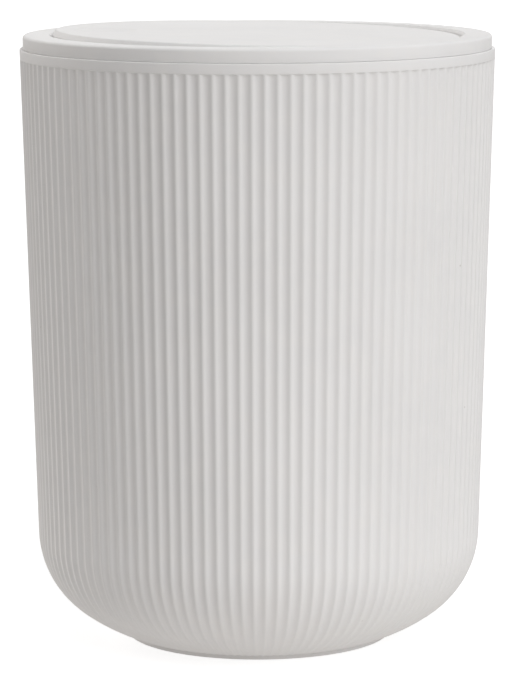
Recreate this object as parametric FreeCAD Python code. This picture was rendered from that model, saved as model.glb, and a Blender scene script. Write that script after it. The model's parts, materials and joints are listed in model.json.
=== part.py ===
import FreeCAD, Part
import math
import os

# Round fluted wastebasket with a swing flap.
# Millimetres. Z is up, the origin is the centre of the foot, on the floor.
# The flap turns about the Y axis direction; its thumb dish is on the -X side.

# Tub. Its outer wall is drawn at the rib crests; the wall allows for the depth of the fine flutes.
RIM_RADIUS = 115.0
RIM_HEIGHT = 288.3
DRAFT = 1.6
WALL = 1.9
FLUTE_DEPTH = 0.75
CORNER_RADIUS = 47.6
CORNER_TURN = 54.5
HEEL_RADIUS = 91.0
HEEL_TURN = 71.4
FOOT_HEIGHT = 1.7
FOOT_WIDTH = 3.2
RIM_ROUND = 0.6

# Lid ring
RING_SETBACK = 1.6
RING_RISE = 6.7
SHADOW_GAP = 1.0
RING_WALL = 2.0
RING_OUTER_ROUND = 0.9
RING_INNER_ROUND = 0.8
RING_WIDTH = 14.1
SKIRT_DEPTH = 22.0
PLUG_DEPTH = 12.0
PLUG_CLEARANCE = 0.3
SEAT_WIDTH = 0.5

# Flap
FLAP_GAP = 1.0
FLAP_SKIN = 2.2
FLAP_SKIRT = 2.0
FLAP_ROUND = 1.3
FLAP_RISE = 0.6
REST_TILT = 1.2
DISH_INSET = 24.8
DISH_WIDTH = 31.0
DISH_DEPTH = 2.4
DISH_ROUND = 5.0
BASE_PLATE = 1.8
BASE_CLEARANCE = 0.2

# Counterweight and its keel
BAR_WIDTH = 24.0
BAR_LENGTH = 92.0
BAR_THICK = 6.0
BAR_CHAMFER = 0.5
BAR_CLEARANCE = 0.3
BAR_SHIFT = 0.10
KEEL_WALL = 1.6
BAR_SCREW_INSET = 16.0
BAR_SCREW_RADIUS = 1.5
BAR_SCREW_BITE = 4.5
KEEL_ROUND = 4.0

# Pivots
PIN_RADIUS = 2.0
PIN_COVER = 1.5
PIN_GRIP = 16.0
PIN_CHAMFER = 0.4
PIN_CLEARANCE = 0.05
PRESS_CLEARANCE = 0.02
SLOT_CLEARANCE = 0.2
BUSH_WALL = 1.5
BUSH_FLANGE = 1.0
BUSH_FLANGE_WIDTH = 1.3
BUSH_SETBACK = 0.2
BUSH_HEADROOM = 0.65
BOSS_WIDTH = 16.0
BOSS_THICK = 4.0
BOSS_BELOW = 8.5
CLIP_PLATE = 1.5
BLOCK_WIDTH = 9.0
BLOCK_ROOF = 1.6

# Screws that hold the flap together
SCREW_COUNT = 4
SCREW_INSET = 20.3
SCREW_RADIUS = 1.25
SCREW_BITE = 5.5
SCREW_HOLE_CLEARANCE = 0.4
SCREW_BOSS_WALL = 2.2
SCREW_TIP_CLEARANCE = 0.6

# Proportions of a screw's head and of its cross recess, in thread radii
HEAD_RADIUS_RATIO = 2.2
HEAD_HEIGHT_RATIO = 1.4
RECESS_ARM_RATIO = 1.2
RECESS_SLOT_RATIO = 0.25
RECESS_DEPTH = 0.9

# How far a cutting shape runs past the solid it cuts, and how near two sizes are to count as equal
OVERCUT = 1.0
NEAR = 0.01

# Heights and radii that follow from the values above
SHELL = FLUTE_DEPTH + WALL
RING_TOP = RIM_HEIGHT + RING_RISE
RING_RADIUS = RIM_RADIUS - RING_SETBACK
RING_UNDERSIDE = RING_TOP - RING_WALL
OPENING_RADIUS = RING_RADIUS - RING_WIDTH
SKIRT_RADIUS = OPENING_RADIUS + RING_WALL
SKIRT_BOTTOM = RING_TOP - SKIRT_DEPTH
BUSH_RADIUS = PIN_RADIUS + PIN_CLEARANCE + BUSH_WALL
PIVOT_Z = RING_UNDERSIDE - BUSH_HEADROOM - BUSH_FLANGE_WIDTH - BUSH_RADIUS
FLAP_RADIUS = OPENING_RADIUS - FLAP_GAP
FLAP_TOP = RING_TOP + FLAP_RISE
FLAP_BOTTOM = PIVOT_Z - PIN_RADIUS - PIN_COVER
PLATE_TOP = FLAP_BOTTOM + BASE_PLATE
KEEL_BOTTOM = FLAP_BOTTOM - BAR_THICK - KEEL_WALL

UP = FreeCAD.Vector(0, 0, 1)
ALONG_Y = FreeCAD.Vector(0, 1, 0)
AXIS_POINT = FreeCAD.Vector(0, 0, PIVOT_Z)


def in_plane(radius, height):
    """Point of the XZ half plane at a radius and a height."""
    return FreeCAD.Vector(radius, 0, height)


def normal(turn):
    """Direction out of the tub where its wall has turned in from the upright by an angle."""
    angle = math.radians(turn)
    return in_plane(math.cos(angle), -math.sin(angle))


def turned(points):
    """Solid of revolution about Z of a closed outline of (radius, height) points."""
    corners = [in_plane(r, z) for r, z in points]
    outline = Part.makePolygon(corners + corners[:1])
    return Part.Face(outline).revolve(FreeCAD.Vector(), UP, 360)


def block(x0, x1, y0, y1, z0, z1):
    """Box between two corners."""
    return Part.makeBox(x1 - x0, y1 - y0, z1 - z0, FreeCAD.Vector(x0, y0, z0))


def rod(radius, y0, y1, z):
    """Cylinder along Y at a height."""
    return Part.makeCylinder(radius, y1 - y0, FreeCAD.Vector(0, y0, z), ALONG_Y)


def post(radius, x, y, z0, z1):
    """Upright cylinder."""
    return Part.makeCylinder(radius, z1 - z0, FreeCAD.Vector(x, y, z0), UP)


def around(shape, angle):
    """Copy of a shape turned about Z."""
    copy = shape.copy()
    copy.rotate(FreeCAD.Vector(), UP, angle)
    return copy


def tilted(shape):
    """Copy of a flap piece turned from level to the angle at which the flap hangs."""
    copy = shape.copy()
    copy.rotate(AXIS_POINT, ALONG_Y, REST_TILT)
    return copy


def circles(shape, radius, height):
    """Round edges of a shape about Z, with a radius and a height."""
    found = []
    for edge in shape.Edges:
        if not isinstance(edge.Curve, Part.Circle):
            continue
        if abs(edge.Curve.Radius - radius) < NEAR and abs(edge.Curve.Center.z - height) < NEAR:
            found.append(edge)
    return found


def save(shape, name):
    shape.exportStep("parts/" + name + ".step")
    solids = len(shape.Solids)
    print(f"{name}: {solids} solid(s), {shape.Volume / 1000:.2f} cm3, valid {shape.isValid()}")


class Wall:
    """Meridian of the tub at a distance inside the rib crests:
    a drafted side, a corner arc and a flatter heel arc that ends at the foot."""

    def __init__(self, inset):
        side = math.radians(DRAFT)
        corner = math.radians(CORNER_TURN)
        heel = math.radians(HEEL_TURN)
        corner_rise = CORNER_RADIUS * (math.sin(corner) - math.sin(side))
        heel_rise = HEEL_RADIUS * (math.sin(heel) - math.sin(corner))
        start_height = FOOT_HEIGHT + corner_rise + heel_rise
        crest = RIM_RADIUS - (RIM_HEIGHT - start_height) * math.tan(side)
        self.corner_radius = CORNER_RADIUS - inset
        self.heel_radius = HEEL_RADIUS - inset
        self.corner_centre = in_plane(crest, start_height) - normal(DRAFT) * CORNER_RADIUS
        centre_shift = normal(CORNER_TURN) * (self.corner_radius - self.heel_radius)
        self.heel_centre = self.corner_centre + centre_shift

    def corner_point(self, turn):
        return self.corner_centre + normal(turn) * self.corner_radius

    def heel_point(self, turn):
        return self.heel_centre + normal(turn) * self.heel_radius

    def side_radius(self, height):
        """Radius of the drafted side at a height."""
        start = self.corner_point(DRAFT)
        return start.x + (height - start.z) * math.tan(math.radians(DRAFT))

    def edges(self, top):
        """Side, corner arc and heel arc from a height down to the foot."""
        start = self.corner_point(DRAFT)
        joint = self.corner_point(CORNER_TURN)
        side = Part.LineSegment(in_plane(self.side_radius(top), top), start)
        corner = Part.Arc(start, self.corner_point((DRAFT + CORNER_TURN) / 2), joint)
        heel = Part.Arc(joint, self.heel_point((CORNER_TURN + HEEL_TURN) / 2), self.heel_point(HEEL_TURN))
        return [side.toShape(), corner.toShape(), heel.toShape()]


def line(a, b):
    return Part.LineSegment(a, b).toShape()


def bin_body():
    """Tub with its outer wall at the rib crests, an even floor and a low foot ring."""
    outer = Wall(0)
    inner = Wall(SHELL)
    foot = outer.heel_point(HEEL_TURN)
    floor = inner.heel_point(HEEL_TURN)
    rim_out = in_plane(RIM_RADIUS, RIM_HEIGHT)
    rim_in = in_plane(inner.side_radius(RIM_HEIGHT), RIM_HEIGHT)
    recess = floor.z - WALL
    edges = outer.edges(RIM_HEIGHT)
    edges.append(line(foot, in_plane(foot.x, 0)))
    edges.append(line(in_plane(foot.x, 0), in_plane(foot.x - FOOT_WIDTH, 0)))
    edges.append(line(in_plane(foot.x - FOOT_WIDTH, 0), in_plane(foot.x - FOOT_WIDTH, recess)))
    edges.append(line(in_plane(foot.x - FOOT_WIDTH, recess), in_plane(0, recess)))
    edges.append(line(in_plane(0, recess), in_plane(0, floor.z)))
    edges.append(line(in_plane(0, floor.z), floor))
    edges += inner.edges(RIM_HEIGHT)
    edges.append(line(rim_in, rim_out))
    outline = Part.Wire(Part.__sortEdges__(edges))
    tub = Part.Face(outline).revolve(FreeCAD.Vector(), UP, 360)
    return tub.makeFillet(RIM_ROUND, circles(tub, RIM_RADIUS, RIM_HEIGHT))


def both_ends(shape):
    """A shape made at the rear pivot, and its copy at the front pivot."""
    return [shape, around(shape, 180)]


def bearing_slot():
    """Slot that is open below and round at the top, for a bush."""
    radius = BUSH_RADIUS + PIN_CLEARANCE
    start = OPENING_RADIUS - OVERCUT
    end = SKIRT_RADIUS + BOSS_THICK + OVERCUT
    throat = block(-radius, radius, start, end, SKIRT_BOTTOM - OVERCUT, PIVOT_Z)
    return throat.fuse(rod(radius, start, end, PIVOT_Z))


def lid_ring():
    """Ring with an outer wall, a seat on the rim, a plug inside the tub and a skirt round the opening."""
    inner = Wall(SHELL)
    plug_bottom = RIM_HEIGHT - PLUG_DEPTH
    plug_top_radius = inner.side_radius(RIM_HEIGHT) - PLUG_CLEARANCE
    plug_bottom_radius = inner.side_radius(plug_bottom) - PLUG_CLEARANCE
    gap_top = RIM_HEIGHT + SHADOW_GAP
    seat = inner.side_radius(RIM_HEIGHT) + SEAT_WIDTH
    outline = [
        (OPENING_RADIUS, RING_TOP),
        (RING_RADIUS, RING_TOP),
        (RING_RADIUS, gap_top),
        (seat, gap_top),
        (seat, RIM_HEIGHT),
        (plug_top_radius, RIM_HEIGHT),
        (plug_bottom_radius, plug_bottom),
        (plug_bottom_radius - RING_WALL, plug_bottom),
        (plug_top_radius - RING_WALL, RING_UNDERSIDE),
        (SKIRT_RADIUS, RING_UNDERSIDE),
        (SKIRT_RADIUS, SKIRT_BOTTOM),
        (OPENING_RADIUS, SKIRT_BOTTOM),
    ]
    ring = turned(outline)
    ring = ring.makeFillet(RING_OUTER_ROUND, circles(ring, RING_RADIUS, RING_TOP))
    ring = ring.makeFillet(RING_INNER_ROUND, circles(ring, OPENING_RADIUS, RING_TOP))
    half = BOSS_WIDTH / 2
    boss = block(-half, half, OPENING_RADIUS + RING_WALL / 2, SKIRT_RADIUS + BOSS_THICK,
                 PIVOT_Z - BOSS_BELOW, RING_UNDERSIDE + RING_WALL / 2)
    ring = ring.fuse(both_ends(boss))
    return ring.cut(both_ends(bearing_slot())).removeSplitter()


def pivot_bush():
    """Flanged bush in the rear bearing slot."""
    inside = OPENING_RADIUS + BUSH_SETBACK
    outside = SKIRT_RADIUS + BOSS_THICK
    bush = rod(BUSH_RADIUS, inside, outside, PIVOT_Z)
    bush = bush.fuse(rod(BUSH_RADIUS + BUSH_FLANGE_WIDTH, outside, outside + BUSH_FLANGE, PIVOT_Z))
    bore = rod(PIN_RADIUS + PIN_CLEARANCE, inside - OVERCUT, outside + BUSH_FLANGE + OVERCUT, PIVOT_Z)
    return bush.cut(bore)


def pivot_clip():
    """Clip pushed up into the rear bearing slot: a cradle under the bush, a plate and a tongue."""
    seat = BUSH_RADIUS + PIN_CLEARANCE
    half = BUSH_RADIUS
    inside = OPENING_RADIUS + BUSH_SETBACK
    outside = SKIRT_RADIUS + BOSS_THICK
    plate_top = PIVOT_Z - BOSS_BELOW
    clip = block(-half, half, inside, outside, plate_top - CLIP_PLATE, PIVOT_Z)
    plate = block(-BOSS_WIDTH / 2, BOSS_WIDTH / 2, SKIRT_RADIUS + BUSH_SETBACK, outside,
                  plate_top - CLIP_PLATE, plate_top)
    tongue = block(-half, half, inside, SKIRT_RADIUS, SKIRT_BOTTOM, plate_top)
    cradle = rod(seat, inside - OVERCUT, outside + OVERCUT, PIVOT_Z)
    return clip.fuse([plate, tongue]).cut(cradle).removeSplitter()


def pivot_pin():
    """Steel pin at the rear, gripped by the flap and turning in the bush."""
    outer_end = SKIRT_RADIUS + BOSS_THICK + BUSH_FLANGE + PIN_CHAMFER
    inner_end = FLAP_RADIUS - FLAP_SKIRT - PIN_GRIP
    pin = rod(PIN_RADIUS, inner_end, outer_end, PIVOT_Z)
    ends = [e for e in pin.Edges if isinstance(e.Curve, Part.Circle)]
    return pin.makeChamfer(PIN_CHAMFER, ends)


def screw_places():
    """Places of the screws that hold the flap base, clear of the pivots and of the thumb dish."""
    step = 360 / SCREW_COUNT
    angles = [math.radians(step * (i + 0.5)) for i in range(SCREW_COUNT)]
    circle = FLAP_RADIUS - SCREW_INSET
    return [(circle * math.cos(a), circle * math.sin(a)) for a in angles]


def bar_screw_places():
    return [(BAR_SHIFT, side * (BAR_LENGTH / 2 - BAR_SCREW_INSET)) for side in (-1, 1)]


def screw(radius, seat, bite, place):
    """Cross-recess screw, head down, with its head's upper face at a height."""
    x, y = place
    head_radius = HEAD_RADIUS_RATIO * radius
    head_height = HEAD_HEIGHT_RATIO * radius
    shank = post(radius, x, y, seat - head_height / 2, seat + bite)
    head = post(head_radius, x, y, seat - head_height, seat)
    rim = circles(head, head_radius, seat - head_height)
    head = head.makeFillet(head_height / 2, rim)
    arm = RECESS_ARM_RATIO * radius
    slot = RECESS_SLOT_RATIO * radius
    low = seat - head_height - OVERCUT
    top = seat - head_height + RECESS_DEPTH
    cross = block(x - arm, x + arm, y - slot, y + slot, low, top)
    cross = cross.fuse(block(x - slot, x + slot, y - arm, y + arm, low, top))
    return head.fuse(shank).cut(cross).removeSplitter()


def flap_cover():
    """Disc with a rounded edge, a skirt, a thumb dish and screw bosses, before it is tilted."""
    inside = FLAP_RADIUS - FLAP_SKIRT
    skin = FLAP_TOP - FLAP_SKIN
    cover = turned([
        (0, FLAP_TOP),
        (FLAP_RADIUS, FLAP_TOP),
        (FLAP_RADIUS, FLAP_BOTTOM),
        (inside, FLAP_BOTTOM),
        (inside, skin),
        (0, skin),
    ])
    cover = cover.makeFillet(FLAP_ROUND, circles(cover, FLAP_RADIUS, FLAP_TOP))
    half = DISH_WIDTH / 2
    dish_radius = (half ** 2 + DISH_DEPTH ** 2) / (2 * DISH_DEPTH)
    centre = FreeCAD.Vector(DISH_INSET - FLAP_RADIUS, 0, FLAP_TOP - DISH_DEPTH + dish_radius)
    bulge = Part.makeSphere(dish_radius + FLAP_SKIN, centre)
    below = block(-FLAP_RADIUS, 0, -DISH_WIDTH, DISH_WIDTH, FLAP_BOTTOM, skin + FLAP_SKIN / 2)
    posts = [post(SCREW_RADIUS + SCREW_BOSS_WALL, x, y, PLATE_TOP, skin + FLAP_SKIN / 2)
             for x, y in screw_places()]
    cover = cover.fuse([bulge.common(below)] + posts)
    cover = cover.cut(Part.makeSphere(dish_radius, centre)).removeSplitter()
    dish_edges = []
    for edge in cover.Edges:
        box = edge.BoundBox
        level = abs(box.ZMax - FLAP_TOP) < NEAR and abs(box.ZMin - FLAP_TOP) < NEAR
        if level and abs(box.XLength - DISH_WIDTH) < NEAR:
            dish_edges.append(edge)
    cover = cover.makeFillet(DISH_ROUND, dish_edges)
    hole_top = FLAP_BOTTOM + SCREW_BITE + SCREW_TIP_CLEARANCE
    holes = [post(SCREW_RADIUS + PRESS_CLEARANCE, x, y, PLATE_TOP - OVERCUT, hole_top)
             for x, y in screw_places()]
    slot_radius = PIN_RADIUS + SLOT_CLEARANCE
    slot_start = inside - OVERCUT
    slot_end = FLAP_RADIUS + OVERCUT
    slot = block(-slot_radius, slot_radius, slot_start, slot_end, FLAP_BOTTOM - OVERCUT, PIVOT_Z)
    slot = slot.fuse(rod(slot_radius, slot_start, slot_end, PIVOT_Z))
    return cover.cut(holes + both_ends(slot))


def flap_base():
    """Plate inside the skirt of the cover, with the keel below it and a block for each pin above it."""
    radius = FLAP_RADIUS - FLAP_SKIRT - BASE_CLEARANCE
    plate = post(radius, 0, 0, FLAP_BOTTOM, PLATE_TOP)
    half_x = BAR_WIDTH / 2 + BAR_CLEARANCE
    half_y = BAR_LENGTH / 2 + BAR_CLEARANCE
    keel = block(BAR_SHIFT - half_x - KEEL_WALL, BAR_SHIFT + half_x + KEEL_WALL,
                 -half_y - KEEL_WALL, half_y + KEEL_WALL, KEEL_BOTTOM, PLATE_TOP)
    corners = [e for e in keel.Edges if e.BoundBox.ZLength > NEAR]
    keel = keel.makeFillet(KEEL_ROUND, corners)
    pocket = block(BAR_SHIFT - half_x, BAR_SHIFT + half_x, -half_y, half_y,
                   KEEL_BOTTOM + KEEL_WALL, PLATE_TOP + OVERCUT)
    grip_start = FLAP_RADIUS - FLAP_SKIRT - PIN_GRIP
    pin_block = block(-BLOCK_WIDTH / 2, BLOCK_WIDTH / 2, grip_start - BLOCK_ROOF, radius - BLOCK_ROOF,
                      FLAP_BOTTOM, PIVOT_Z + PIN_RADIUS + BLOCK_ROOF)
    bore = rod(PIN_RADIUS + PRESS_CLEARANCE, grip_start - PRESS_CLEARANCE, radius + OVERCUT, PIVOT_Z)
    holes = [post(SCREW_RADIUS + SCREW_HOLE_CLEARANCE, x, y, FLAP_BOTTOM - OVERCUT, PLATE_TOP + OVERCUT)
             for x, y in screw_places()]
    holes += [post(BAR_SCREW_RADIUS + SCREW_HOLE_CLEARANCE, x, y, KEEL_BOTTOM - OVERCUT, FLAP_BOTTOM)
              for x, y in bar_screw_places()]
    base = plate.fuse([keel] + both_ends(pin_block))
    return base.cut([pocket] + both_ends(bore) + holes).removeSplitter()


def flap_counterweight():
    """Steel bar on the floor of the keel, with two tapped holes."""
    low = KEEL_BOTTOM + KEEL_WALL
    bar = block(BAR_SHIFT - BAR_WIDTH / 2, BAR_SHIFT + BAR_WIDTH / 2,
                -BAR_LENGTH / 2, BAR_LENGTH / 2, low, low + BAR_THICK)
    bar = bar.makeChamfer(BAR_CHAMFER, bar.Edges)
    holes = [post(BAR_SCREW_RADIUS + PRESS_CLEARANCE, x, y, low - OVERCUT, low + BAR_THICK + OVERCUT)
             for x, y in bar_screw_places()]
    return bar.cut(holes)


os.makedirs("parts", exist_ok=True)

save(bin_body(), "bin_body")
save(lid_ring(), "lid_ring")
save(tilted(flap_cover()), "flap_cover")
save(tilted(flap_base()), "flap_base")
save(tilted(flap_counterweight()), "flap_counterweight")

flap_screws = [screw(SCREW_RADIUS, FLAP_BOTTOM, SCREW_BITE, place) for place in screw_places()]
save(tilted(Part.makeCompound(flap_screws)), "flap_screws")
bar_screws = [screw(BAR_SCREW_RADIUS, KEEL_BOTTOM, KEEL_WALL + BAR_SCREW_BITE, place)
              for place in bar_screw_places()]
save(tilted(Part.makeCompound(bar_screws)), "counterweight_screws")

for maker, name in ((pivot_pin, "pivot_pin"), (pivot_bush, "pivot_bush"), (pivot_clip, "pivot_clip")):
    rear, front = both_ends(maker())
    save(rear, name + "_rear")
    save(front, name + "_front")
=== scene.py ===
import json
import math

import bmesh
import bpy
from mathutils import Matrix, Vector


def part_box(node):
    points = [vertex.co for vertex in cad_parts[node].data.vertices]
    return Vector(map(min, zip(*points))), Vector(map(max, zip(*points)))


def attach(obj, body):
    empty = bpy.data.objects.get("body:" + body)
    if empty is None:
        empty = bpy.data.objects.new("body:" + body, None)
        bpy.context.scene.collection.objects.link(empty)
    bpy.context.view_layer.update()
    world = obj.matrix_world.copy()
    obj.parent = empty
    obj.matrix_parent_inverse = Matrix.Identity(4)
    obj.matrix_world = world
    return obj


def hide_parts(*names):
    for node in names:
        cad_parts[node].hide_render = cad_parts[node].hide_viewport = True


# Round fluted wastebasket with a lift-off lid ring and a balanced swing flap.
# Metres, +Z up, the origin is the centre of the foot on the floor.
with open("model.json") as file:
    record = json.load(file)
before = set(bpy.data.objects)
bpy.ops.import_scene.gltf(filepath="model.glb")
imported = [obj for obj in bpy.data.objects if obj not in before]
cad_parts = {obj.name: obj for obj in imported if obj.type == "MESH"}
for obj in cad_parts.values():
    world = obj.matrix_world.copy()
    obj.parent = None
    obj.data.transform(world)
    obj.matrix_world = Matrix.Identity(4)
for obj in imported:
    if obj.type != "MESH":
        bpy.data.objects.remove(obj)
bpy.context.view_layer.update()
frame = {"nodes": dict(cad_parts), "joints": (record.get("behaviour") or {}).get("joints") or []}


# ---------------------------------------------------------------- tub
# The tub is one injection moulding in off-white matt plastic. Round flutes lie side by side all round
# it, with narrow rounded ribs between them, from the low foot up to a plain collar. It stands on the
# floor on its foot ring and carries the lid ring on its rim.
MM = 0.001
flute_count = 120
flute_steps = 12
plain_columns = 360
flute_radius = 3.9 * MM
rib_radius = 1.9 * MM
step_crowding = 0.2
ledge_drop = 0.55 * MM
ledge_fade = ((0.55, 0.96), (0.25, 0.80), (0.1, 0.45), (0.0, 0.08), (-0.2, 0.0))
collar_height = 4.85 * MM
side_draft = math.radians(1.6)
corner_radius = 47.6 * MM
corner_turn = math.radians(54.5)
heel_radius = 91.0 * MM
heel_turn = math.radians(71.4)
foot_height = 1.7 * MM
foot_width = 3.2 * MM
tub_shell = 2.65 * MM
floor_thickness = 1.9 * MM
rim_round = 0.4 * MM
small_round = 0.3 * MM
heel_rings = 5
corner_rings = 13
side_rings = 4
inner_corner_rings = 9
inner_heel_rings = 3
weld_distance = 0.001 * MM
tub_sharp_angle = math.radians(50)
tub_colour = (0.773, 0.765, 0.762, 1.0)


class Field:
    """A value in a node tree. Arithmetic on it adds Math nodes, and add() adds any other node."""

    def __init__(self, tree, socket=None):
        self.tree = tree
        self.socket = socket

    def add(self, kind, settings=None, sockets=None, output=0):
        """Add a node: its settings first, then the values or links of its sockets."""
        node = self.tree.nodes.new(kind)
        for name, value in (settings or {}).items():
            setattr(node, name, value)
        for key, value in (sockets or {}).items():
            if isinstance(value, Field):
                self.tree.links.new(value.socket, node.inputs[key])
            else:
                node.inputs[key].default_value = value
        return Field(self.tree, node.outputs[output] if node.outputs else None)

    def out(self, key):
        """Another output of the same node."""
        return Field(self.tree, self.socket.node.outputs[key])

    def math(self, operation, *values):
        """Any Math node, with its values or links in turn."""
        return self.add("ShaderNodeMath", {"operation": operation}, dict(enumerate(values)))

    def __add__(self, other):
        return self.math("ADD", self, other)

    def __sub__(self, other):
        return self.math("SUBTRACT", self, other)

    def __rsub__(self, other):
        return self.math("SUBTRACT", other, self)

    def __mul__(self, other):
        return self.math("MULTIPLY", self, other)

    def __truediv__(self, other):
        return self.math("DIVIDE", self, other)

    def __rtruediv__(self, other):
        return self.math("DIVIDE", other, self)

    def __lt__(self, other):
        return self.math("LESS_THAN", self, other)

    __radd__ = __add__
    __rmul__ = __mul__

    def ease(self, low, high):
        """0 below low, 1 above high, and a smooth step between."""
        sockets = {"Value": self, "From Min": low, "From Max": high}
        return self.add("ShaderNodeMapRange", {"interpolation_type": "SMOOTHSTEP"}, sockets)

    def blend(self, first, second):
        """Colour that goes from first to second as this value goes from 0 to 1."""
        factor, colour_a, colour_b, colour_result = 0, 6, 7, 2
        sockets = {factor: self, colour_a: first, colour_b: second}
        return self.add("ShaderNodeMix", {"data_type": "RGBA"}, sockets, colour_result)


def shell_tree():
    """Node tree that turns an outline about Z and sinks round flutes into the wall.

    Each point of the outline gives a ring: its radius and height are the point's X and Z. Attributes
    say how far the ring's centre is moved along X, which way is into the wall, and how much of a
    flute's depth the ring takes. One cutter makes every flute, so the depth follows the pitch.
    Crowding gathers a flute's columns towards the ribs at its sides, where the curve is tightest."""
    tree = bpy.data.node_groups.new("Turned shell", "GeometryNodeTree")
    inputs = (("Outline", "NodeSocketGeometry"), ("Flutes", "NodeSocketInt"), ("Steps", "NodeSocketInt"),
              ("Cutter radius", "NodeSocketFloat"), ("Rib radius", "NodeSocketFloat"),
              ("Crowding", "NodeSocketFloat"), ("Material", "NodeSocketMaterial"))
    for name, kind in inputs:
        tree.interface.new_socket(name, in_out="INPUT", socket_type=kind)
    tree.interface.new_socket("Shell", in_out="OUTPUT", socket_type="NodeSocketGeometry")
    start = Field(tree).add("NodeGroupInput")
    flutes, steps = start.out("Flutes"), start.out("Steps")
    cutter, rib = start.out("Cutter radius"), start.out("Rib radius")

    def named(name, kind="FLOAT"):
        return start.add("GeometryNodeInputNamedAttribute", {"data_type": kind}, {"Name": name})

    def part(vector, axis):
        return start.add("ShaderNodeSeparateXYZ", None, {"Vector": vector}).out(axis)

    outline = start.add("GeometryNodeMeshToCurve", None, {"Mesh": start.out("Outline")})
    outline = start.add("GeometryNodeStoreNamedAttribute", {"data_type": "FLOAT_VECTOR"}, {
        "Geometry": outline, "Name": "place", "Value": start.add("GeometryNodeInputPosition")})
    circle = start.add("GeometryNodeCurvePrimitiveCircle", None, {"Resolution": flutes * steps})
    circle = start.add("GeometryNodeStoreNamedAttribute", {"data_type": "FLOAT"}, {
        "Geometry": circle, "Name": "column", "Value": start.add("GeometryNodeInputIndex")})
    shell = start.add("GeometryNodeCurveToMesh", None, {"Curve": circle, "Profile Curve": outline})

    column = named("column")
    flute = (column / steps).math("FLOOR", column / steps)
    even = column / steps - flute
    across = even - start.out("Crowding") * (even * math.tau).math("SINE", even * math.tau) / math.tau
    angle = (flute + across + 0.5) * math.tau / flutes
    place, inward = named("place", "FLOAT_VECTOR"), named("inward", "FLOAT_VECTOR")
    radius = part(place, "X")
    half_pitch = radius * math.pi / flutes
    offset = (across - 0.5) * half_pitch * 2
    offset = offset.math("ABSOLUTE", offset)
    both = cutter + rib
    lean = (half_pitch / both).math("MINIMUM", half_pitch / both, 1.0)
    lean = lean.math("ARCSINE", lean)
    depth = both * (1 - lean.math("COSINE", lean))
    bowl = cutter * cutter - offset * offset
    bowl = depth - cutter + bowl.math("SQRT", bowl)
    from_rib = half_pitch - offset
    crest = rib * rib - from_rib * from_rib
    crest = rib - crest.math("SQRT", crest)
    in_bowl = offset < cutter * lean.math("SINE", lean)
    sunk = (in_bowl * bowl + (1 - in_bowl) * crest) * named("flute")
    radius = radius + part(inward, "X") * sunk
    point = start.add("ShaderNodeCombineXYZ", None, {
        "X": named("shift") + radius * angle.math("COSINE", angle),
        "Y": radius * angle.math("SINE", angle),
        "Z": part(place, "Z") + part(inward, "Z") * sunk,
    })
    shell = start.add("GeometryNodeSetPosition", None, {"Geometry": shell, "Position": point})
    shell = start.add("GeometryNodeMergeByDistance", None, {"Geometry": shell, "Distance": weld_distance})
    for name in ("column", "place", "inward", "flute", "shift"):
        shell = start.add("GeometryNodeRemoveAttribute", None, {"Geometry": shell, "Name": name})
    shell = start.add("GeometryNodeRealizeInstances", None, {"Geometry": shell})
    shell = start.add("GeometryNodeSetMaterial", None, {
        "Geometry": shell, "Material": start.out("Material")})
    start.add("NodeGroupOutput", None, {"Shell": shell})
    return tree


def plain_mesh(thing, name):
    """Plain mesh object with the result of another object's modifiers, which is removed."""
    evaluated = thing.evaluated_get(bpy.context.evaluated_depsgraph_get())
    mesh = bpy.data.meshes.new_from_object(evaluated)
    bpy.data.objects.remove(thing)
    mesh.name = name
    piece = bpy.data.objects.new(name, mesh)
    bpy.context.scene.collection.objects.link(piece)
    return piece


def smooth(piece, angle):
    """Shade a closed piece smooth, apart from edges past an angle, with its faces outwards."""
    work = bmesh.new()
    work.from_mesh(piece.data)
    bmesh.ops.recalc_face_normals(work, faces=work.faces)
    work.to_mesh(piece.data)
    work.free()
    piece.data.shade_smooth()
    piece.data.set_sharp_from_angle(angle=angle)


def turned(name, rows, material, closed=False, fluted=False):
    """Shell turned from rows of (radius, height, shift, (inward x, inward z), flute)."""
    count = len(rows)
    mesh = bpy.data.meshes.new(name)
    edges = [(i, i + 1) for i in range(count - 1)] + ([(count - 1, 0)] if closed else [])
    mesh.from_pydata([(row[0], 0, row[1]) for row in rows], edges, [])
    mesh.attributes.new("shift", "FLOAT", "POINT").data.foreach_set("value", [row[2] for row in rows])
    mesh.attributes.new("flute", "FLOAT", "POINT").data.foreach_set("value", [row[4] for row in rows])
    inward = [value for row in rows for value in (row[3][0], 0, row[3][1])]
    mesh.attributes.new("inward", "FLOAT_VECTOR", "POINT").data.foreach_set("vector", inward)
    thing = bpy.data.objects.new(name + "_outline", mesh)
    bpy.context.scene.collection.objects.link(thing)
    modifier = thing.modifiers.new("Shell", "NODES")
    modifier.node_group = turned_shell
    sizes = {
        "Flutes": flute_count if fluted else plain_columns,
        "Steps": flute_steps if fluted else 1,
        "Cutter radius": flute_radius,
        "Rib radius": rib_radius,
        "Crowding": step_crowding,
        "Material": material,
    }
    for socket in turned_shell.interface.items_tree:
        if socket.name in sizes:
            modifier[socket.identifier] = sizes[socket.name]
    return plain_mesh(thing, name)


def plain(points, shift=0.0):
    """Rows without flutes from (radius, height) points."""
    return [(r, z, shift, (0, 0), 0) for r, z in points]


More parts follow.
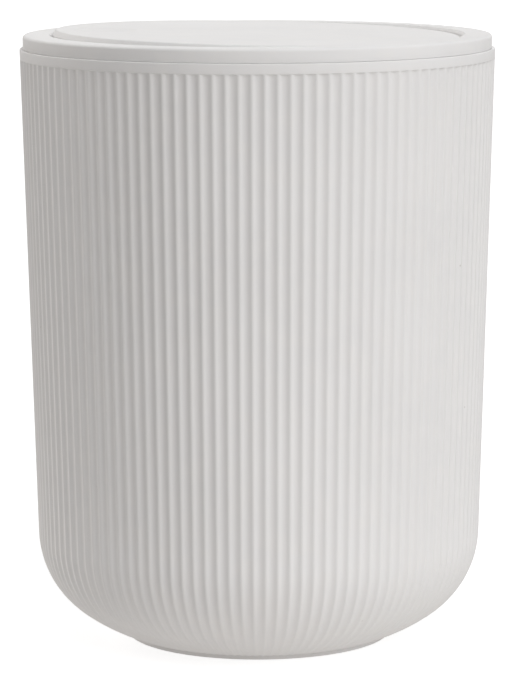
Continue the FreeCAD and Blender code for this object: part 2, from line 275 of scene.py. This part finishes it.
def rounded(corners, closed=False, steps=5):
    """Points along (x, z, rounding radius) corners, with an arc where the radius isn't 0."""
    points = []
    for i, (x, z, radius) in enumerate(corners):
        inside = closed or 0 < i < len(corners) - 1
        if not (radius and inside):
            points.append((x, z))
            continue
        here = Vector((x, z))
        back = (Vector(corners[i - 1][:2]) - here).normalized()
        ahead = (Vector(corners[(i + 1) % len(corners)][:2]) - here).normalized()
        half = back.angle(ahead) / 2
        centre = here + (back + ahead).normalized() * radius / math.sin(half)
        first = here + back * radius / math.tan(half) - centre
        sweep = first.angle_signed(here + ahead * radius / math.tan(half) - centre)
        for step in range(steps + 1):
            points.append(tuple(centre + Matrix.Rotation(-sweep * step / steps, 2) @ first))
    return points


def out_of_wall(turn):
    """Direction out of the tub where its wall has turned in from the upright by an angle."""
    return Vector((math.cos(turn), -math.sin(turn)))


def tub_rows():
    """Outline of the tub from the middle of its underside round to the middle of its floor."""
    rim_radius, rim_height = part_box("bin_body")[1].x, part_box("bin_body")[1].z
    rise = corner_radius * (math.sin(corner_turn) - math.sin(side_draft))
    rise += heel_radius * (math.sin(heel_turn) - math.sin(corner_turn))
    start = Vector((0, foot_height + rise))
    start.x = rim_radius - (rim_height - start.y) * math.tan(side_draft)
    corner_centre = start - out_of_wall(side_draft) * corner_radius
    heel_centre = corner_centre + out_of_wall(corner_turn) * (corner_radius - heel_radius)

    def arc(centre, radius, first, last, steps, flute):
        turns = [first + (last - first) * i / steps for i in range(steps + 1)]
        return [(*(centre + out_of_wall(t) * radius), 0, -out_of_wall(t), flute) for t in turns]

    def side_row(height, flute, inset=0.0):
        radius = start.x + (height - start.y) * math.tan(side_draft) - inset / math.cos(side_draft)
        return (radius, height, 0, -out_of_wall(side_draft), flute)

    heel = arc(heel_centre, heel_radius, heel_turn, corner_turn, heel_rings, 1)
    corner = arc(corner_centre, corner_radius, corner_turn, side_draft, corner_rings, 1)
    foot = heel[0][0]
    inner_heel = arc(heel_centre, heel_radius - tub_shell, corner_turn, heel_turn, inner_heel_rings, 0)
    inner_corner = arc(corner_centre, corner_radius - tub_shell, side_draft, corner_turn,
                       inner_corner_rings, 0)
    floor_height = inner_heel[-1][1]
    recess = floor_height - floor_thickness
    underside = rounded([
        (0, recess, 0),
        (foot - foot_width, recess, small_round),
        (foot - foot_width, 0, small_round),
        (foot, 0, small_round),
        (foot, foot_height, 0),
    ], steps=2)[:-1]
    ledge = rim_height - collar_height
    side_top = ledge - ledge_drop
    side = [side_row(start.y + (side_top - start.y) * i / side_rings, 1) for i in range(1, side_rings + 1)]
    end = [side_row(ledge - ledge_drop * drop, flute) for drop, flute in ledge_fade]
    inner_rim = side_row(rim_height, 0, tub_shell)[0]
    collar = rounded([
        (*side_row(ledge + 2 * small_round, 0)[:2], 0),
        (rim_radius, rim_height, rim_round),
        (inner_rim, rim_height, small_round),
        (*inner_corner[0][:2], 0),
    ], steps=3)[:-1]
    return (plain(underside) + heel + corner[1:] + side + end + plain(collar)
            + inner_corner + inner_heel[1:] + plain([(0, floor_height)]))


def tub_rim_inner():
    """Inner radius of the tub's rim."""
    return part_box("bin_body")[1].x - tub_shell / math.cos(side_draft)


def noise(start, scale, detail=2.0, roughness=0.5):
    """Noise on the object's own coordinates, about 0.5, with cells of 1 / scale metres."""
    place = start.add("ShaderNodeTexCoord", None, None, "Object")
    return start.add("ShaderNodeTexNoise", None, {
        "Vector": place, "Scale": scale, "Detail": detail, "Roughness": roughness})


# Cells of each noise in a metre, and how much of each the plastic shows.
flow_cells = 14.0
flow_range = (0.3, 0.7)
flow_shade = 0.965
cloud_cells = 90.0
cloud_range = (0.35, 0.75)
cloud_share = 0.6
cloud_tint = (1.01, 1.002, 0.99)
speck_cells = 42.0
speck_size = (0.012, 0.03)
speck_share = 0.75
speck_colour = (0.50, 0.47, 0.44, 1.0)
fine_grain_cells = 5200.0
coarse_grain_cells = 1500.0
fine_share = 0.6
grain_strength = 0.55
tub_grain = 0.12 * MM
polish_cells = 260.0
polish_spread = 0.1
tub_roughness = 0.58
plastic_ior = 1.47


def shaded(colour, tint):
    """Colour with its channels multiplied by those of a tint."""
    return (*(channel * share for channel, share in zip(colour, tint)), 1.0)


def moulded_plastic(name, colour, specks, grain=tub_grain, roughness=tub_roughness):
    """Matt off-white plastic: flow marks, fine spark-eroded grain and a few specks of dust."""
    material = bpy.data.materials.new(name)
    material.use_nodes = True
    shader = material.node_tree.nodes["Principled BSDF"]
    shader.inputs["IOR"].default_value = plastic_ior
    start = Field(material.node_tree)
    flow = noise(start, flow_cells, detail=3.0).ease(*flow_range)
    surface = flow.blend(shaded(colour, [flow_shade] * 3), colour)
    cloud = noise(start, cloud_cells, detail=4.0, roughness=0.6).ease(*cloud_range)
    surface = (cloud * cloud_share).blend(surface, shaded(colour, cloud_tint))
    if specks:
        place = start.add("ShaderNodeTexCoord", None, None, "Object")
        distance = start.add("ShaderNodeTexVoronoi", None, {"Vector": place, "Scale": speck_cells})
        speck = 1 - distance.ease(*speck_size)
        surface = (speck * speck_share).blend(surface, speck_colour)
    fine = noise(start, fine_grain_cells, roughness=0.6)
    coarse = noise(start, coarse_grain_cells)
    height = fine * fine_share + coarse * (1 - fine_share)
    bump = start.add("ShaderNodeBump", None, {
        "Strength": grain_strength, "Distance": grain, "Height": height})
    rough = roughness + noise(start, polish_cells, detail=3.0) * polish_spread
    links = material.node_tree.links
    links.new(surface.socket, shader.inputs["Base Color"])
    links.new(rough.socket, shader.inputs["Roughness"])
    links.new(bump.socket, shader.inputs["Normal"])
    return material


turned_shell = shell_tree()
tub_plastic = moulded_plastic("tub plastic", tub_colour, specks=True)
tub = turned("tub", tub_rows(), tub_plastic, fluted=True)
smooth(tub, tub_sharp_angle)
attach(tub, "bin")
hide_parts("bin_body")


# ---------------------------------------------------------------- lid ring
# The lid ring is a second moulding in the same plastic. Its flat annulus has a bevelled opening and
# stands on the tub's rim over a fine shadow gap; a plug inside the rim centres it. A skirt round the
# opening carries two bosses on its outside, each with a slot that is open below for a pivot bush.
ring_low, ring_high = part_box("lid_ring")
ring_top = ring_high.z
ring_radius = ring_high.x
skirt_bottom = ring_low.z
rim_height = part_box("bin_body")[1].z
shadow_gap = 0.09 * MM
ring_wall = 2.0 * MM
ring_width = 14.1 * MM
ring_outer_round = 1.4 * MM
opening_bevel = 1.2 * MM
opening_drop = 1.3 * MM
bevel_round = 0.5 * MM
seat_width = 0.5 * MM
plug_depth = 12.0 * MM
plug_clearance = 0.3 * MM
boss_width = 16.0 * MM
boss_thick = 4.0 * MM
boss_below = 8.5 * MM
slot_clearance = 0.05 * MM
cut_margin = 1.0 * MM
rod_sides = 64
sharp_angle = math.radians(30)
lid_colour = (0.783, 0.775, 0.772, 1.0)

opening_radius = ring_radius - ring_width
skirt_radius = opening_radius + ring_wall
pivot = Vector(next(joint for joint in frame["joints"] if joint["name"] == "flap_swing")["pos_m"])
bush_flange = 1.3 * MM
bush_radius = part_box("pivot_bush_rear")[1].x - bush_flange


def block(name, low, high):
    """Box between two corners, as a solid for cutting or joining."""
    mesh = bpy.data.meshes.new(name)
    work = bmesh.new()
    middle = (Vector(low) + Vector(high)) / 2
    bmesh.ops.create_cube(work, size=1, matrix=Matrix.LocRotScale(middle, None, Vector(high) - Vector(low)))
    work.to_mesh(mesh)
    work.free()
    thing = bpy.data.objects.new(name, mesh)
    bpy.context.scene.collection.objects.link(thing)
    return thing


def rod(name, radius, start_y, end_y, height):
    """Cylinder along Y at a height, as a solid for cutting or joining."""
    mesh = bpy.data.meshes.new(name)
    work = bmesh.new()
    place = Matrix.Translation((0, (start_y + end_y) / 2, height)) @ Matrix.Rotation(math.pi / 2, 4, "X")
    bmesh.ops.create_cone(work, cap_ends=True, segments=rod_sides, radius1=radius, radius2=radius,
                          depth=abs(end_y - start_y), matrix=place)
    work.to_mesh(mesh)
    work.free()
    thing = bpy.data.objects.new(name, mesh)
    bpy.context.scene.collection.objects.link(thing)
    return thing


def combine(piece, changes):
    """Join or cut a piece with other solids, which are used up, in turn."""
    name = piece.name
    for operation, other in changes:
        modifier = piece.modifiers.new(operation, "BOOLEAN")
        modifier.operation = operation
        modifier.solver = "EXACT"
        modifier.object = other
    piece.name = name + "_before"
    result = plain_mesh(piece, name)
    for _, other in changes:
        bpy.data.objects.remove(other)
    return result


rim_inner = tub_rim_inner()
plug_low = rim_height - plug_depth
plug_slope = math.tan(side_draft) * plug_depth
gap_top = rim_height + shadow_gap
plug_out = rim_inner - plug_clearance
ring_outline = rounded([
    (opening_radius, ring_top - opening_drop, bevel_round),
    (opening_radius + opening_bevel, ring_top, bevel_round),
    (ring_radius, ring_top, ring_outer_round),
    (ring_radius, gap_top, small_round / 2),
    (rim_inner + seat_width, gap_top, 0),
    (rim_inner + seat_width, rim_height, 0),
    (plug_out, rim_height, 0),
    (plug_out - plug_slope, plug_low, small_round),
    (plug_out - plug_slope - ring_wall, plug_low, small_round),
    (plug_out - ring_wall, ring_top - ring_wall, 0),
    (skirt_radius, ring_top - ring_wall, 0),
    (skirt_radius, skirt_bottom, small_round),
    (opening_radius, skirt_bottom, small_round),
], closed=True)
lid_plastic = moulded_plastic("lid plastic", lid_colour, specks=True)
ring = turned("lid_ring_shell", plain(ring_outline), lid_plastic, closed=True)
changes = []
for side in (-1, 1):
    inner = side * (opening_radius + ring_wall / 2)
    outer = side * (skirt_radius + boss_thick)
    boss = block("boss", (-boss_width / 2, min(inner, outer), pivot.z - boss_below),
                 (boss_width / 2, max(inner, outer), ring_top - ring_wall / 2))
    changes.append(("UNION", boss))
for side in (-1, 1):
    inner = side * (opening_radius - cut_margin)
    outer = side * (skirt_radius + boss_thick + cut_margin)
    half = bush_radius + slot_clearance
    throat = block("throat", (-half, min(inner, outer), skirt_bottom - cut_margin),
                   (half, max(inner, outer), pivot.z))
    changes.append(("DIFFERENCE", throat))
    changes.append(("DIFFERENCE", rod("throat_top", half, inner, outer, pivot.z)))
ring = combine(ring, changes)
smooth(ring, sharp_angle)
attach(ring, "lid")
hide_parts("lid_ring")


# ---------------------------------------------------------------- flap cover
# The flap cover is a disc moulded with a bevelled edge and a skirt, and a shallow round dish for a
# thumb near its left edge. A slot on each side of the skirt lets it down over the pivot pins. It
# stands a little proud of the ring and hangs low on the right, where its balance leaves it.
flap_gap = 0.6 * MM
flap_rise = 0.58 * MM
flap_bevel = 1.3 * MM
flap_drop = 2.6 * MM
flap_round = 0.9 * MM
flap_skin = 2.2 * MM
flap_skirt = 2.0 * MM
flap_tilt = math.radians(1.2)
dish_place = -73.5 * MM
dish_width = 31.0 * MM
dish_depth = 2.4 * MM
dish_round = 5.0 * MM
dish_rings = (0, 0.2, 0.4, 0.6, 0.75, 0.85, 0.9, 0.92, 0.94, 0.96, 0.98, 1.0)
rings_to_edge = 6
edge_lead = 1.0 * MM
edge_steps = 8
pin_cover = 1.5 * MM
flap_slot_clearance = 0.2 * MM
flap_colour = (0.783, 0.775, 0.772, 1.0)

flap_radius = opening_radius - flap_gap
flap_top = ring_top + flap_rise
pin_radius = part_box("pivot_pin_rear")[1].x
flap_bottom = pivot.z - pin_radius - pin_cover
dish_ball = (dish_width ** 2 / 4 + dish_depth ** 2) / (2 * dish_depth)
dish_reach = math.sqrt((dish_ball + dish_round) ** 2 - (dish_ball - dish_depth + dish_round) ** 2)


def dish_height(distance):
    """Height of the cover's top at a distance from the middle of the dish, with its edge rounded."""
    if distance > dish_reach * dish_ball / (dish_ball + dish_round):
        return math.sqrt(dish_round ** 2 - (dish_reach - distance) ** 2) - dish_round
    return dish_ball - dish_depth - math.sqrt(dish_ball ** 2 - distance ** 2)


def flap_rows():
    """Rings from the middle of the dish out to the cover's edge, down its skirt and back inside."""
    dish = [(dish_reach * share, dish_height(dish_reach * share)) for share in dish_rings]
    flat = flap_radius - flap_bevel - flap_round - edge_lead

    def around_dish(drop, last):
        rings = [(r, flap_top - drop + z, dish_place, (0, 0), 0) for r, z in dish]
        for i in range(1, rings_to_edge + 1):
            share = i / rings_to_edge
            rings.append((dish_reach + (last - dish_reach) * share, flap_top - drop,
                          dish_place * (1 - share), (0, 0), 0))
        return rings

    edge = rounded([
        (flat, flap_top, 0),
        (flap_radius - flap_bevel, flap_top, flap_round),
        (flap_radius, flap_top - flap_drop, bevel_round),
        (flap_radius, flap_bottom, small_round),
        (flap_radius - flap_skirt, flap_bottom, small_round),
        (flap_radius - flap_skirt, flap_top - flap_skin, 0),
    ], steps=edge_steps)
    return (around_dish(0, flat)[:-1] + plain(edge)
            + around_dish(flap_skin, flap_radius - flap_skirt)[:-1][::-1])


hang = Matrix.Translation(pivot) @ Matrix.Rotation(flap_tilt, 4, "Y") @ Matrix.Translation(-pivot)
flap_plastic = moulded_plastic("flap plastic", flap_colour, specks=True)
cover = turned("flap_cover_shell", flap_rows(), flap_plastic)
changes = []
for side in (-1, 1):
    inner = side * (flap_radius - flap_skirt - cut_margin)
    outer = side * (flap_radius + cut_margin)
    half = pin_radius + flap_slot_clearance
    slot = block("slot", (-half, min(inner, outer), flap_bottom - cut_margin),
                 (half, max(inner, outer), pivot.z))
    changes.append(("DIFFERENCE", slot))
    changes.append(("DIFFERENCE", rod("slot_top", half, inner, outer, pivot.z)))
cover = combine(cover, changes)
cover.data.transform(hang)
smooth(cover, sharp_angle)
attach(cover, "flap")
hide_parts("flap_cover")


# ---------------------------------------------------------------- flap base
# The flap's base is a plate with a hollow keel for the counterweight, moulded in a slightly greyer
# plastic with a plain tool finish. It closes the cover from below and is held by four screws.
base_grain = 0.06 * MM
base_roughness = 0.46
base_colour = (0.72, 0.71, 0.695, 1.0)

frame["nodes"]["flap_base"].material_slots[0].material = moulded_plastic(
    "base plastic", base_colour, specks=False, grain=base_grain, roughness=base_roughness)


# ---------------------------------------------------------------- counterweight
# The counterweight is a flat steel bar, sawn and chamfered, with a dull zinc-grey coating. It lies in
# the keel under the pivots and two screws hold it there.
coating_colour = (0.24, 0.25, 0.26, 1.0)
coating_roughness = 0.55
coating_metallic = 0.35
sawing_marks = (1800.0, 300.0, 1800.0)
blotch_cells = 220.0
blotch_range = (0.35, 0.7)
blotch_shade = 0.82
blotch_share = 0.7
blotch_spread = 0.08
mark_spread = 0.1
mark_strength = 0.3
mark_depth = 0.02 * MM


def worked_steel(name, colour, roughness, marks, metallic=1.0):
    """Steel with faint blotches and fine working marks; marks is their number in a metre along X, Y, Z."""
    material = bpy.data.materials.new(name)
    material.use_nodes = True
    shader = material.node_tree.nodes["Principled BSDF"]
    shader.inputs["Metallic"].default_value = metallic
    start = Field(material.node_tree)
    place = start.add("ShaderNodeTexCoord", None, None, "Object")
    lines = start.add("ShaderNodeVectorMath", {"operation": "MULTIPLY"}, {0: place, 1: marks})
    scratches = start.add("ShaderNodeTexNoise", None, {"Vector": lines, "Scale": 1.0, "Detail": 3.0})
    blotches = noise(start, blotch_cells, detail=4.0, roughness=0.6).ease(*blotch_range)
    worn = blotches * blotch_share + scratches * (1 - blotch_share)
    surface = worn.blend(shaded(colour, [blotch_shade] * 3), colour)
    rough = roughness + blotches * blotch_spread + scratches * mark_spread
    bump = start.add("ShaderNodeBump", None, {
        "Strength": mark_strength, "Distance": mark_depth, "Height": scratches})
    links = material.node_tree.links
    links.new(surface.socket, shader.inputs["Base Color"])
    links.new(rough.socket, shader.inputs["Roughness"])
    links.new(bump.socket, shader.inputs["Normal"])
    return material


frame["nodes"]["flap_counterweight"].material_slots[0].material = worked_steel(
    "weight coating", coating_colour, coating_roughness, sawing_marks, metallic=coating_metallic)


# ---------------------------------------------------------------- screws
# Four screws hold the flap's base to its cover and two hold the counterweight in the keel. They are
# cross-recess screws in bright zinc-plated steel, with turning marks across their heads.
zinc_colour = (0.56, 0.57, 0.60, 1.0)
zinc_roughness = 0.28
turning_marks = (2500.0, 900.0, 2500.0)

screw_steel = worked_steel("zinc plate", zinc_colour, zinc_roughness, turning_marks)
for node in ("flap_screws", "counterweight_screws"):
    frame["nodes"][node].material_slots[0].material = screw_steel


# ---------------------------------------------------------------- pivot pins
# Two ground steel pins are pressed into the flap's base along the pivot axis. Fine grinding marks run
# round them, so they repeat along Y.
pin_colour = (0.62, 0.62, 0.63, 1.0)
pin_roughness = 0.16
grinding_marks = (300.0, 9000.0, 300.0)

pin_steel = worked_steel("ground steel", pin_colour, pin_roughness, grinding_marks)
for node in ("pivot_pin_front", "pivot_pin_rear"):
    frame["nodes"][node].material_slots[0].material = pin_steel


# ---------------------------------------------------------------- bushes and clips
# A bush for each pin sits in its boss, and a clip pressed in from below keeps it there. Both are
# turned or moulded in natural acetal, milky white and smoother than the lid's plastic.
acetal_colour = (0.83, 0.82, 0.79, 1.0)
acetal_grain = 0.02 * MM
acetal_roughness = 0.26

acetal = moulded_plastic("natural acetal", acetal_colour, specks=False, grain=acetal_grain,
                         roughness=acetal_roughness)
for node in ("pivot_bush_front", "pivot_bush_rear", "pivot_clip_front", "pivot_clip_rear"):
    frame["nodes"][node].material_slots[0].material = acetal


# ---------------------------------------------------------------- camera
# Long lens a little above the rim, turned down to the middle of the tub.
camera_place = Vector((-0.007, -1.7224, 0.4012))
camera_turn = math.radians(-0.158)
camera_pitch = math.radians(8.460)
camera_roll = math.radians(-0.167)
film_width = 36.0
lens_length = 252.24

camera = bpy.data.objects.new("camera", bpy.data.cameras.new("camera"))
camera.data.sensor_fit = "HORIZONTAL"
camera.data.sensor_width = film_width
camera.data.lens = lens_length
aim = Matrix.Rotation(camera_turn, 4, "Z") @ Matrix.Rotation(math.pi / 2 - camera_pitch, 4, "X")
camera.matrix_world = Matrix.Translation(camera_place) @ aim @ Matrix.Rotation(camera_roll, 4, "Z")
bpy.context.scene.collection.objects.link(camera)
bpy.context.scene.camera = camera


# ---------------------------------------------------------------- light
# A broad key lamp at the right, a weak one overhead, a weak warm one behind at the left, and an even
# surround that the camera, gloss and glass see as white.
surround = 0.165
fill_tint = (1.035, 1.0, 0.968, 1.0)
white = (1.0, 1.0, 1.0, 1.0)


def sun(name, azimuth, elevation, strength, width, tint=white[:3]):
    """Distant lamp: angles are in degrees, and azimuth is from the camera, positive to the right."""
    lamp = bpy.data.lights.new(name, "SUN")
    lamp.energy = strength
    lamp.color = tint
    lamp.angle = math.radians(width)
    thing = bpy.data.objects.new(name, lamp)
    turn = math.radians(azimuth)
    rise = math.radians(elevation)
    towards = Vector((math.sin(turn) * math.cos(rise), -math.cos(turn) * math.cos(rise), math.sin(rise)))
    thing.matrix_world = towards.to_track_quat("Z", "Y").to_matrix().to_4x4()
    bpy.context.scene.collection.objects.link(thing)


sun("key lamp", azimuth=48.0, elevation=44.0, strength=1.89, width=60.0, tint=(0.985, 1.0, 1.015))
sun("top lamp", azimuth=0.0, elevation=89.0, strength=0.73, width=70.0)
sun("back lamp", azimuth=-125.0, elevation=20.0, strength=1.0, width=30.0, tint=(1.035, 1.0, 0.965))

world = bpy.data.worlds.new("surround")
bpy.context.scene.world = world
world.use_nodes = True
start = Field(world.node_tree)
rays = start.add("ShaderNodeLightPath")
seen = rays.out("Is Camera Ray") + rays.out("Is Glossy Ray") + rays.out("Is Transmission Ray")
seen = seen.math("MINIMUM", seen, 1.0)
shown = world.node_tree.nodes["Background"]
world.node_tree.links.new((surround + seen * (1 - surround)).socket, shown.inputs["Strength"])
world.node_tree.links.new(seen.blend(fill_tint, white).socket, shown.inputs["Color"])


# ---------------------------------------------------------------- floor
# Plain white floor that keeps the tub's shadow. It glows like a light table, most near the tub, in
# front of it and at its left.
floor_size = 12.0
floor_corners = ((-1, -1), (1, -1), (1, 1), (-1, 1))
floor_roughness = 0.9
floor_specular = 0.1
floor_colour = (0.22, 0.22, 0.22, 1.0)
floor_colour_seen = (0.45, 0.45, 0.45, 1.0)
floor_glow_seen = (0.75, 0.75, 0.75, 1.0)
even_glow = 0.17
front_glow = 0.42
front_towards = (0.55, -0.84, 0.0)
front_range = (-0.05, 0.35)
near_glow = 0.30
near_range = (0.1, 0.45)
left_glow = 0.5
left_place = (-0.30, 0.12, 0.0)
left_range = (0.05, 0.32)

floor_mesh = bpy.data.meshes.new("floor")
floor_mesh.from_pydata([(x * floor_size, y * floor_size, 0) for x, y in floor_corners], [], [(0, 1, 2, 3)])
floor = bpy.data.objects.new("floor", floor_mesh)
bpy.context.scene.collection.objects.link(floor)
floor_material = bpy.data.materials.new("floor")
floor_material.use_nodes = True
shader = floor_material.node_tree.nodes["Principled BSDF"]
shader.inputs["Roughness"].default_value = floor_roughness
shader.inputs["Specular IOR Level"].default_value = floor_specular
shader.inputs["Emission Strength"].default_value = 1.0
start = Field(floor_material.node_tree)
camera_ray = start.add("ShaderNodeLightPath", None, None, "Is Camera Ray")
floor_links = floor_material.node_tree.links
floor_links.new(camera_ray.blend(floor_colour, floor_colour_seen).socket, shader.inputs["Base Color"])
place = start.add("ShaderNodeTexCoord", None, None, "Object")
ahead = start.add("ShaderNodeVectorMath", {"operation": "DOT_PRODUCT"},
                  {0: place, 1: front_towards}, "Value")
reach = start.add("ShaderNodeVectorMath", {"operation": "LENGTH"}, {0: place}, "Value")
from_left = start.add("ShaderNodeVectorMath", {"operation": "DISTANCE"},
                      {0: place, 1: left_place}, "Value")
glow = even_glow + front_glow * ahead.ease(*front_range) + near_glow * (1 - reach.ease(*near_range))
glow = glow + left_glow * (1 - from_left.ease(*left_range))
glow = start.add("ShaderNodeVectorMath", {"operation": "SCALE"}, {0: fill_tint[:3], "Scale": glow})
floor_links.new(camera_ray.blend(glow, floor_glow_seen).socket, shader.inputs["Emission Color"])
floor_mesh.materials.append(floor_material)


# ---------------------------------------------------------------- view
# Colours show as they are written.
bpy.context.scene.view_settings.view_transform = "Standard"
